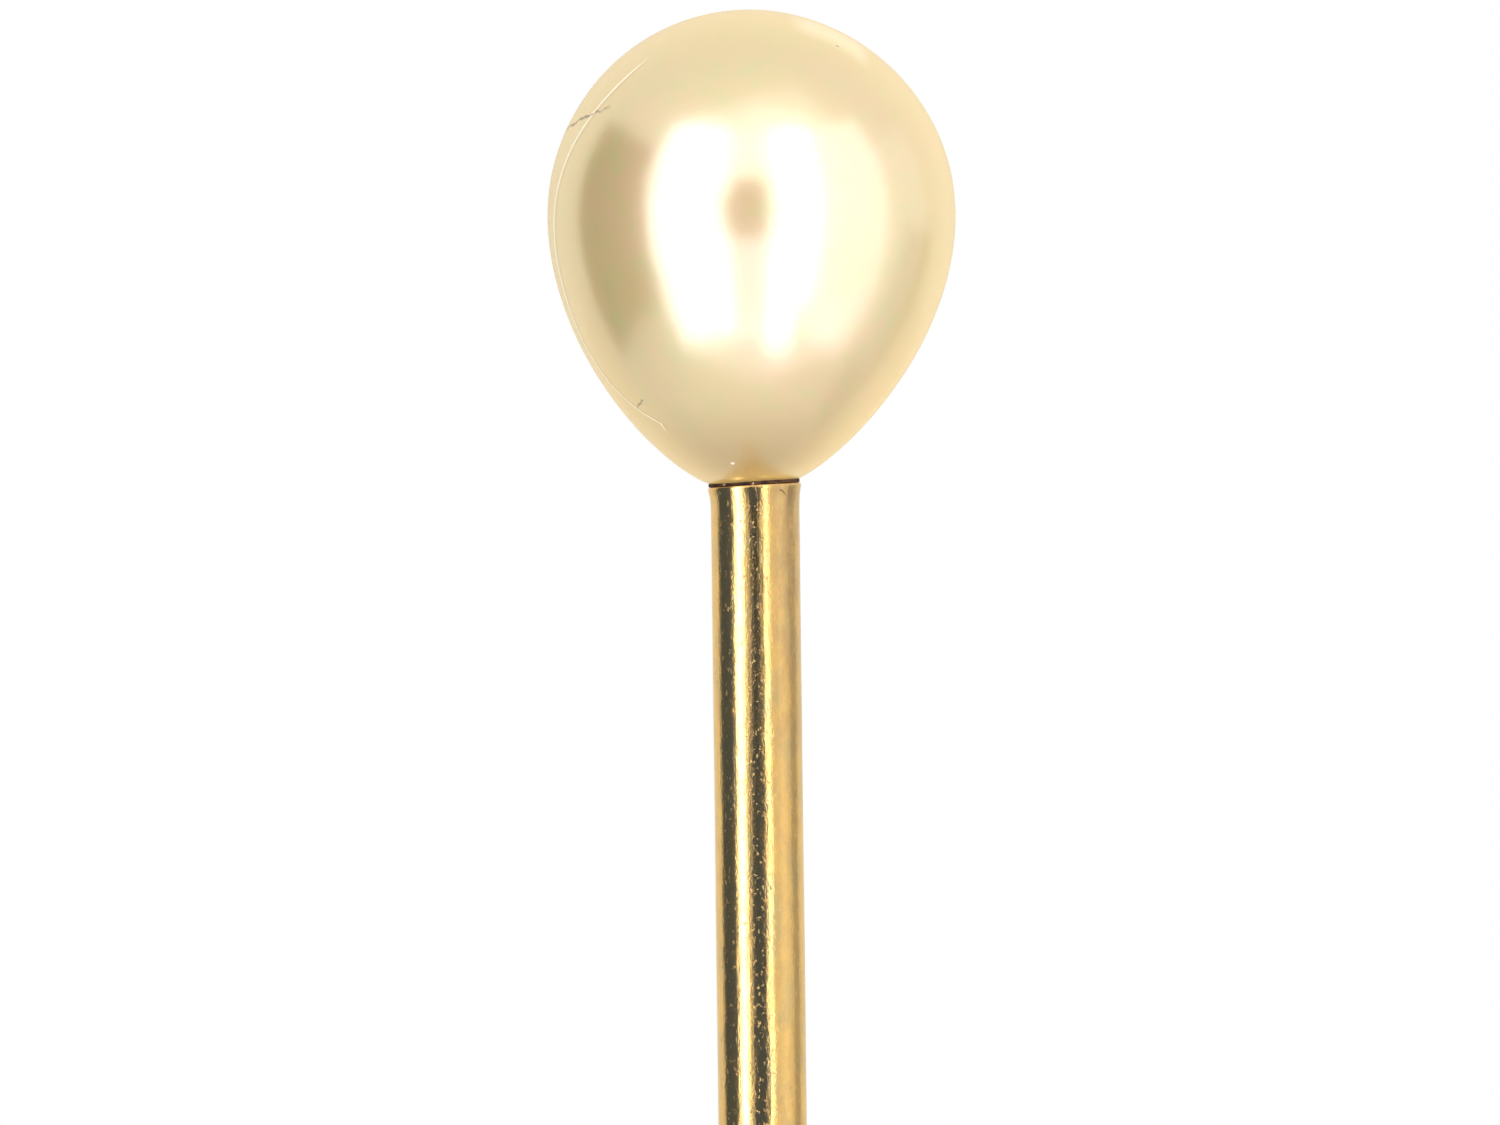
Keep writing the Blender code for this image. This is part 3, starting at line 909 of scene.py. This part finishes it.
def makeKnob(material):
    shape = knobShape
    top, bottom = highOf("clutch_knob"), lowOf("clutch_knob")
    outer, entry, socket = halfWidthOf("clutch_knob"), clutchShape["entry"], shape["socket"]
    floor, step = bottom + shape["floor"], bottom + shape["step"]
    gripTop, gripLow = top - shape["gripDrop"], bottom + shape["gripFoot"]
    edge, socketEdge, dome = shape["edge"], shape["socketEdge"], shape["dome"]
    profile = [(0, floor - shape["dimple"]), (entry, floor), (entry, step), (socket, step)]
    profile += arc((socket + socketEdge, top - socketEdge), socketEdge, 180, 90, 4)
    profile += [(1.35, top), (1.38, top - 0.02)]
    profile += arc((outer - edge, top - edge), edge, 90, 0, 6)
    profile += [(outer, gripTop + 0.12), (outer - 0.03, gripTop + 0.05), (outer - 0.01, gripTop)]
    profile += [(outer, gripTop + (gripLow - gripTop) * ring / 12) for ring in range(1, 12)]
    profile += [(outer - 0.01, gripLow), (outer - 0.03, gripLow - 0.05), (outer, gripLow - 0.12)]
    profile += arc((outer - dome, bottom + dome), dome, 0, -90, 20)
    profile += [(0.3, bottom), (0, bottom)]
    bm = turned(profile, shape["flutes"] * shape["fluteSides"])
    for vert in bm.verts:
        reach = math.hypot(vert.co.x, vert.co.y)
        if reach < socket + 0.3 or not gripLow - 0.01 < vert.co.z < gripTop + 0.01:
            continue
        angle = math.atan2(vert.co.y, vert.co.x)
        valley = (0.5 - 0.5 * math.cos(angle * shape["flutes"])) ** 1.5
        runOut = smoothly(vert.co.z, gripLow, gripLow + shape["fluteRunOut"])
        runOut *= 1 - smoothly(vert.co.z, gripTop - shape["fluteRunOut"], gripTop)
        scale = 1 - shape["fluteDepth"] * valley * runOut / reach
        vert.co.x *= scale
        vert.co.y *= scale
    return publish("clutchKnob", bm, material, "clutch_plunger", "clutch_knob")


metalLooks = {
    "clutchGold": {"tone": (0.86, 0.56, 0.22), "dirt": (0.16, 0.11, 0.06), "rough": 0.16, "rings": 9.0},
    "turnedBrass": {"tone": (0.78, 0.58, 0.26), "dirt": (0.20, 0.13, 0.06), "rough": 0.22, "rings": 12.0},
    "springSteel": {"tone": (0.50, 0.50, 0.52), "rough": 0.22},
    "ballSteel": {"tone": (0.68, 0.68, 0.70), "rough": 0.07},
}


def turnedMetal(name):
    # lathe rings round the axis, light handling scuffs and dirt specks
    finish, look = Finish(name), metalLooks[name]
    tone, worn = look["tone"], tuple(part * 0.86 for part in look["tone"])
    reach = (finish.x * finish.x + finish.y * finish.y) ** 0.5
    across = finish.add("ShaderNodeCombineXYZ", inputs={0: reach, 1: finish.z, 2: 0.0})
    rings = finish.clouds(look["rings"], 3.0, 0.7, across)
    squat = finish.add("ShaderNodeMapping", inputs={"Vector": finish.place, "Scale": (1.6, 1.6, 3.2)})
    scuffs = finish.clouds(1.0, 4.0, 0.6, squat)
    specks = finish.step(finish.clouds(9.0, 3.0, 0.6), 0.66, 0.76)
    colour = finish.mix(finish.step(scuffs, 0.42, 0.7) * 0.7, tone, worn)
    colour = finish.mix(specks * 0.45, colour, look["dirt"])
    relief = rings * 0.35 + scuffs * 0.4 - specks * 0.25
    normal = finish.bump(relief, 0.5, 0.00001)
    roughness = look["rough"] + rings * 0.09 + finish.step(scuffs, 0.5, 0.8) * 0.12
    return finish.shade(Base_Color=colour, Metallic=1.0, Roughness=roughness, Normal=normal)


def drawnSteel(name):
    finish, look = Finish(name), metalLooks[name]
    tone, worn = look["tone"], tuple(part * 0.75 for part in look["tone"])
    grain = finish.clouds(16.0, 4.0, 0.7)
    drift = finish.clouds(2.0, 2.0, 0.5)
    colour = finish.mix(finish.step(drift, 0.4, 0.7) * 0.6, tone, worn)
    normal = finish.bump(grain * 0.5 + drift * 0.4, 0.4, 0.00001)
    roughness = look["rough"] + grain * 0.10
    return finish.shade(Base_Color=colour, Metallic=1.0, Roughness=roughness, Normal=normal)


clutchGold = turnedMetal("clutchGold")
turnedBrass = turnedMetal("turnedBrass")
springSteel = drawnSteel("springSteel")
ballSteel = drawnSteel("ballSteel")

clutchBarrel = makeBarrel(clutchGold)
clutchKnob = makeKnob(clutchGold)
clutchEndRing = makeEndRing(turnedBrass)
clutchCage = makeCage(turnedBrass)
clutchSpring = makeSpring(springSteel)
gripBalls = makeBalls(ballSteel)
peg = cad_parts["peg"]
for materialSlot in peg.material_slots:
    materialSlot.material = turnedBrass
print("clutch made")


studio = {
    "height": 3.6,  # mm, the level that the panels are measured from
    "whiteAround": 0.92,
    "underside": 0.80,
    "warmth": (1.0, 0.97, 0.80),
    "skyLow": -0.6,  # the tent grades from its underside to full white between these heights
    "skyHigh": 0.2,
    "lensRadius": 10.5,
    "lensPlace": (-2.2, -43, 6.6),
    "lensTone": (0.04, 0.04, 0.045),
    "floorTone": (0.82, 0.81, 0.80),
    "floorReach": 450,
    "floorDrop": 17.0,  # clear of the clutch when it is pulled off the point
}

# side and rise in degrees from the front of the pearl; strength is the panel's brightness
softPanels = {
    "leftBox": {"side": (-56, -13), "rise": (-48, 48), "far": 48, "strength": 2.2, "for": "pearl"},
    "rightBox": {"side": (10, 40), "rise": (-38, 47), "far": 48, "strength": 2.3, "for": "pearl"},
    "rightFoot": {"side": (10, 33), "rise": (-55, -38), "far": 48, "strength": 2.0, "for": "pearl"},
    "rightWing": {"side": (40, 80), "rise": (-48, 44), "far": 48, "strength": 0.95, "for": "pearl"},
    "farWing": {"side": (80, 112), "rise": (-42, 30), "far": 48, "strength": 0.2, "for": "pearl"},
    "gapFoot": {"side": (-22, 22), "rise": (-52, -10), "far": 46, "strength": 1.3, "for": "pearl"},
    "gapHead": {"side": (-13, 10), "rise": (20, 46), "far": 48, "strength": 1.0, "for": "pearl"},
    "rightHead": {"side": (-6, 62), "rise": (48, 70), "far": 48, "strength": 0.35, "for": "pearl"},
    "headGlow": {"side": (-50, 50), "rise": (46, 61), "far": 48, "strength": 0.45, "for": "pearl"},
    "footGlow": {"side": (-48, 66), "rise": (-64, -44), "far": 44, "strength": 0.45, "for": "pearl"},
    "leftStrip": {"side": (-54, -35), "rise": (-40, 30), "far": 90, "strength": 4.0, "for": "metal"},
    "frontStrip": {"side": (24.5, 29), "rise": (-40, 30), "far": 90, "strength": 4.4, "for": "metal"},
    "rightStrip": {"side": (56, 78), "rise": (-40, 30), "far": 90, "strength": 0.2, "for": "metal"},
}

darkCards = {
    "leftFlag": {"side": (-112, -61), "rise": (-33, 35), "far": 56, "tone": (0.075, 0.10, 0.14)},
    "cameraBody": {"side": (-21, 21), "rise": (-54, -6), "far": 50, "tone": (0.065, 0.10, 0.18)},
    "rightShade": {"side": (94, 122), "rise": (-55, -3), "far": 70, "tone": (0.66, 0.66, 0.66)},
}


def groups():
    metal = [stemWire, clutchBarrel, clutchKnob, clutchEndRing, clutchCage, clutchSpring, peg, *gripBalls]
    members = {"pearl": [pearlSkin, seatCement], "metal": metal}
    made = {}
    for name, pieces in members.items():
        made[name] = bpy.data.collections.new(name + "Lit")
        for piece in pieces:
            made[name].objects.link(piece)
    return made


def spread(side, rise, far):
    # centre, width and height of an upright panel that fills those angles
    middle = math.radians((side[0] + side[1]) / 2)
    width = 2 * far * math.tan(math.radians((side[1] - side[0]) / 2))
    low, high = (far * math.tan(math.radians(angle)) for angle in rise)
    centre = Vector((far * math.sin(middle), -far * math.cos(middle), studio["height"] + (low + high) / 2))
    return centre * mm, width * mm, (high - low) * mm, middle


def hangPanel(name, setup, collections):
    centre, width, height, middle = spread(setup["side"], setup["rise"], setup["far"])
    lamp = bpy.data.lights.new(name, "AREA")
    lamp.shape = "RECTANGLE"
    lamp.size, lamp.size_y = width, height
    lamp.energy = setup["strength"] * width * height * math.pi
    panel = bpy.data.objects.new(name, lamp)
    bpy.context.scene.collection.objects.link(panel)
    facing = Vector((-math.sin(middle), math.cos(middle), 0))
    panel.rotation_euler = facing.to_track_quat("-Z", "Y").to_euler()
    panel.location = centre
    panel.visible_camera = False
    panel.light_linking.receiver_collection = collections[setup["for"]]


def plainSurface(name, tone, roughness):
    finish = Finish(name)
    soft = finish.clouds(0.02, 3.0, 0.5)
    colour = finish.mix(soft, tuple(part * 0.97 for part in tone), tone)
    return finish.shade(Base_Color=colour, Roughness=roughness)


def hangCard(name, setup):
    centre, width, height, middle = spread(setup["side"], setup["rise"], setup["far"])
    bm = bmesh.new()
    bmesh.ops.create_grid(bm, x_segments=1, y_segments=1, size=0.5)
    bmesh.ops.scale(bm, vec=(width, height, 1), verts=bm.verts)
    facing = Vector((-math.sin(middle), math.cos(middle), 0))
    turn = facing.to_track_quat("-Z", "Y").to_matrix().to_4x4()
    bmesh.ops.transform(bm, matrix=Matrix.Translation(centre) @ turn, verts=bm.verts)
    stagePiece(name, bm, plainSurface(name, setup["tone"], 0.9))


def stagePiece(name, bm, material, seen=False):
    mesh = bpy.data.meshes.new(name)
    bm.to_mesh(mesh)
    bm.free()
    mesh.materials.append(material)
    card = bpy.data.objects.new(name, mesh)
    bpy.context.scene.collection.objects.link(card)
    card.visible_camera = seen


def hangLensCard():
    # the dark front of the lens, which the pearl mirrors
    bm = bmesh.new()
    bmesh.ops.create_circle(bm, cap_ends=True, radius=studio["lensRadius"] * mm, segments=64)
    bmesh.ops.rotate(bm, cent=(0, 0, 0), matrix=Matrix.Rotation(math.pi / 2, 3, "X"), verts=bm.verts)
    bmesh.ops.translate(bm, vec=Vector(studio["lensPlace"]) * mm, verts=bm.verts)
    stagePiece("lensCard", bm, plainSurface("lensCard", studio["lensTone"], 0.9))


def layFloor():
    bm = bmesh.new()
    bmesh.ops.create_circle(bm, cap_ends=True, radius=studio["floorReach"] * mm, segments=128)
    level = cadLow.z - studio["floorDrop"] * mm
    bmesh.ops.translate(bm, vec=(0, 0, level), verts=bm.verts)
    stagePiece("paleFloor", bm, plainSurface("paleFloor", studio["floorTone"], 0.6), seen=True)


def lightWorld():
    world = bpy.data.worlds.new("whiteTent")
    bpy.context.scene.world = world
    world.use_nodes = True
    tent = Nodes(world.node_tree)
    direction = tent.add("ShaderNodeTexCoord", output="Generated")
    height = tent.add("ShaderNodeSeparateXYZ", inputs={0: direction}, output=2)
    grade = tent.add("ShaderNodeMapRange", inputs={
        "Value": height, "From Min": studio["skyLow"], "From Max": studio["skyHigh"],
        "To Min": studio["underside"], "To Max": studio["whiteAround"],
    })
    # the camera sees plain white, and the pin sees a slightly warm tent
    seen = tent.add("ShaderNodeLightPath", output="Is Camera Ray")
    strength = tent.add("ShaderNodeMix", inputs={0: seen, 2: grade, 3: 1.0})
    colours = {0: seen, 6: (*studio["warmth"], 1), 7: (1, 1, 1, 1)}
    colour = tent.add("ShaderNodeMix", {"data_type": "RGBA"}, colours, output=2)
    tent.fill(tent.tree.nodes["Background"], {"Strength": strength, "Color": colour})


lightWorld()
layFloor()
hangLensCard()
for cardName, cardSetup in darkCards.items():
    hangCard(cardName, cardSetup)
litGroups = groups()
for panelName, panelSetup in softPanels.items():
    hangPanel(panelName, panelSetup, litGroups)
print("studio lit")
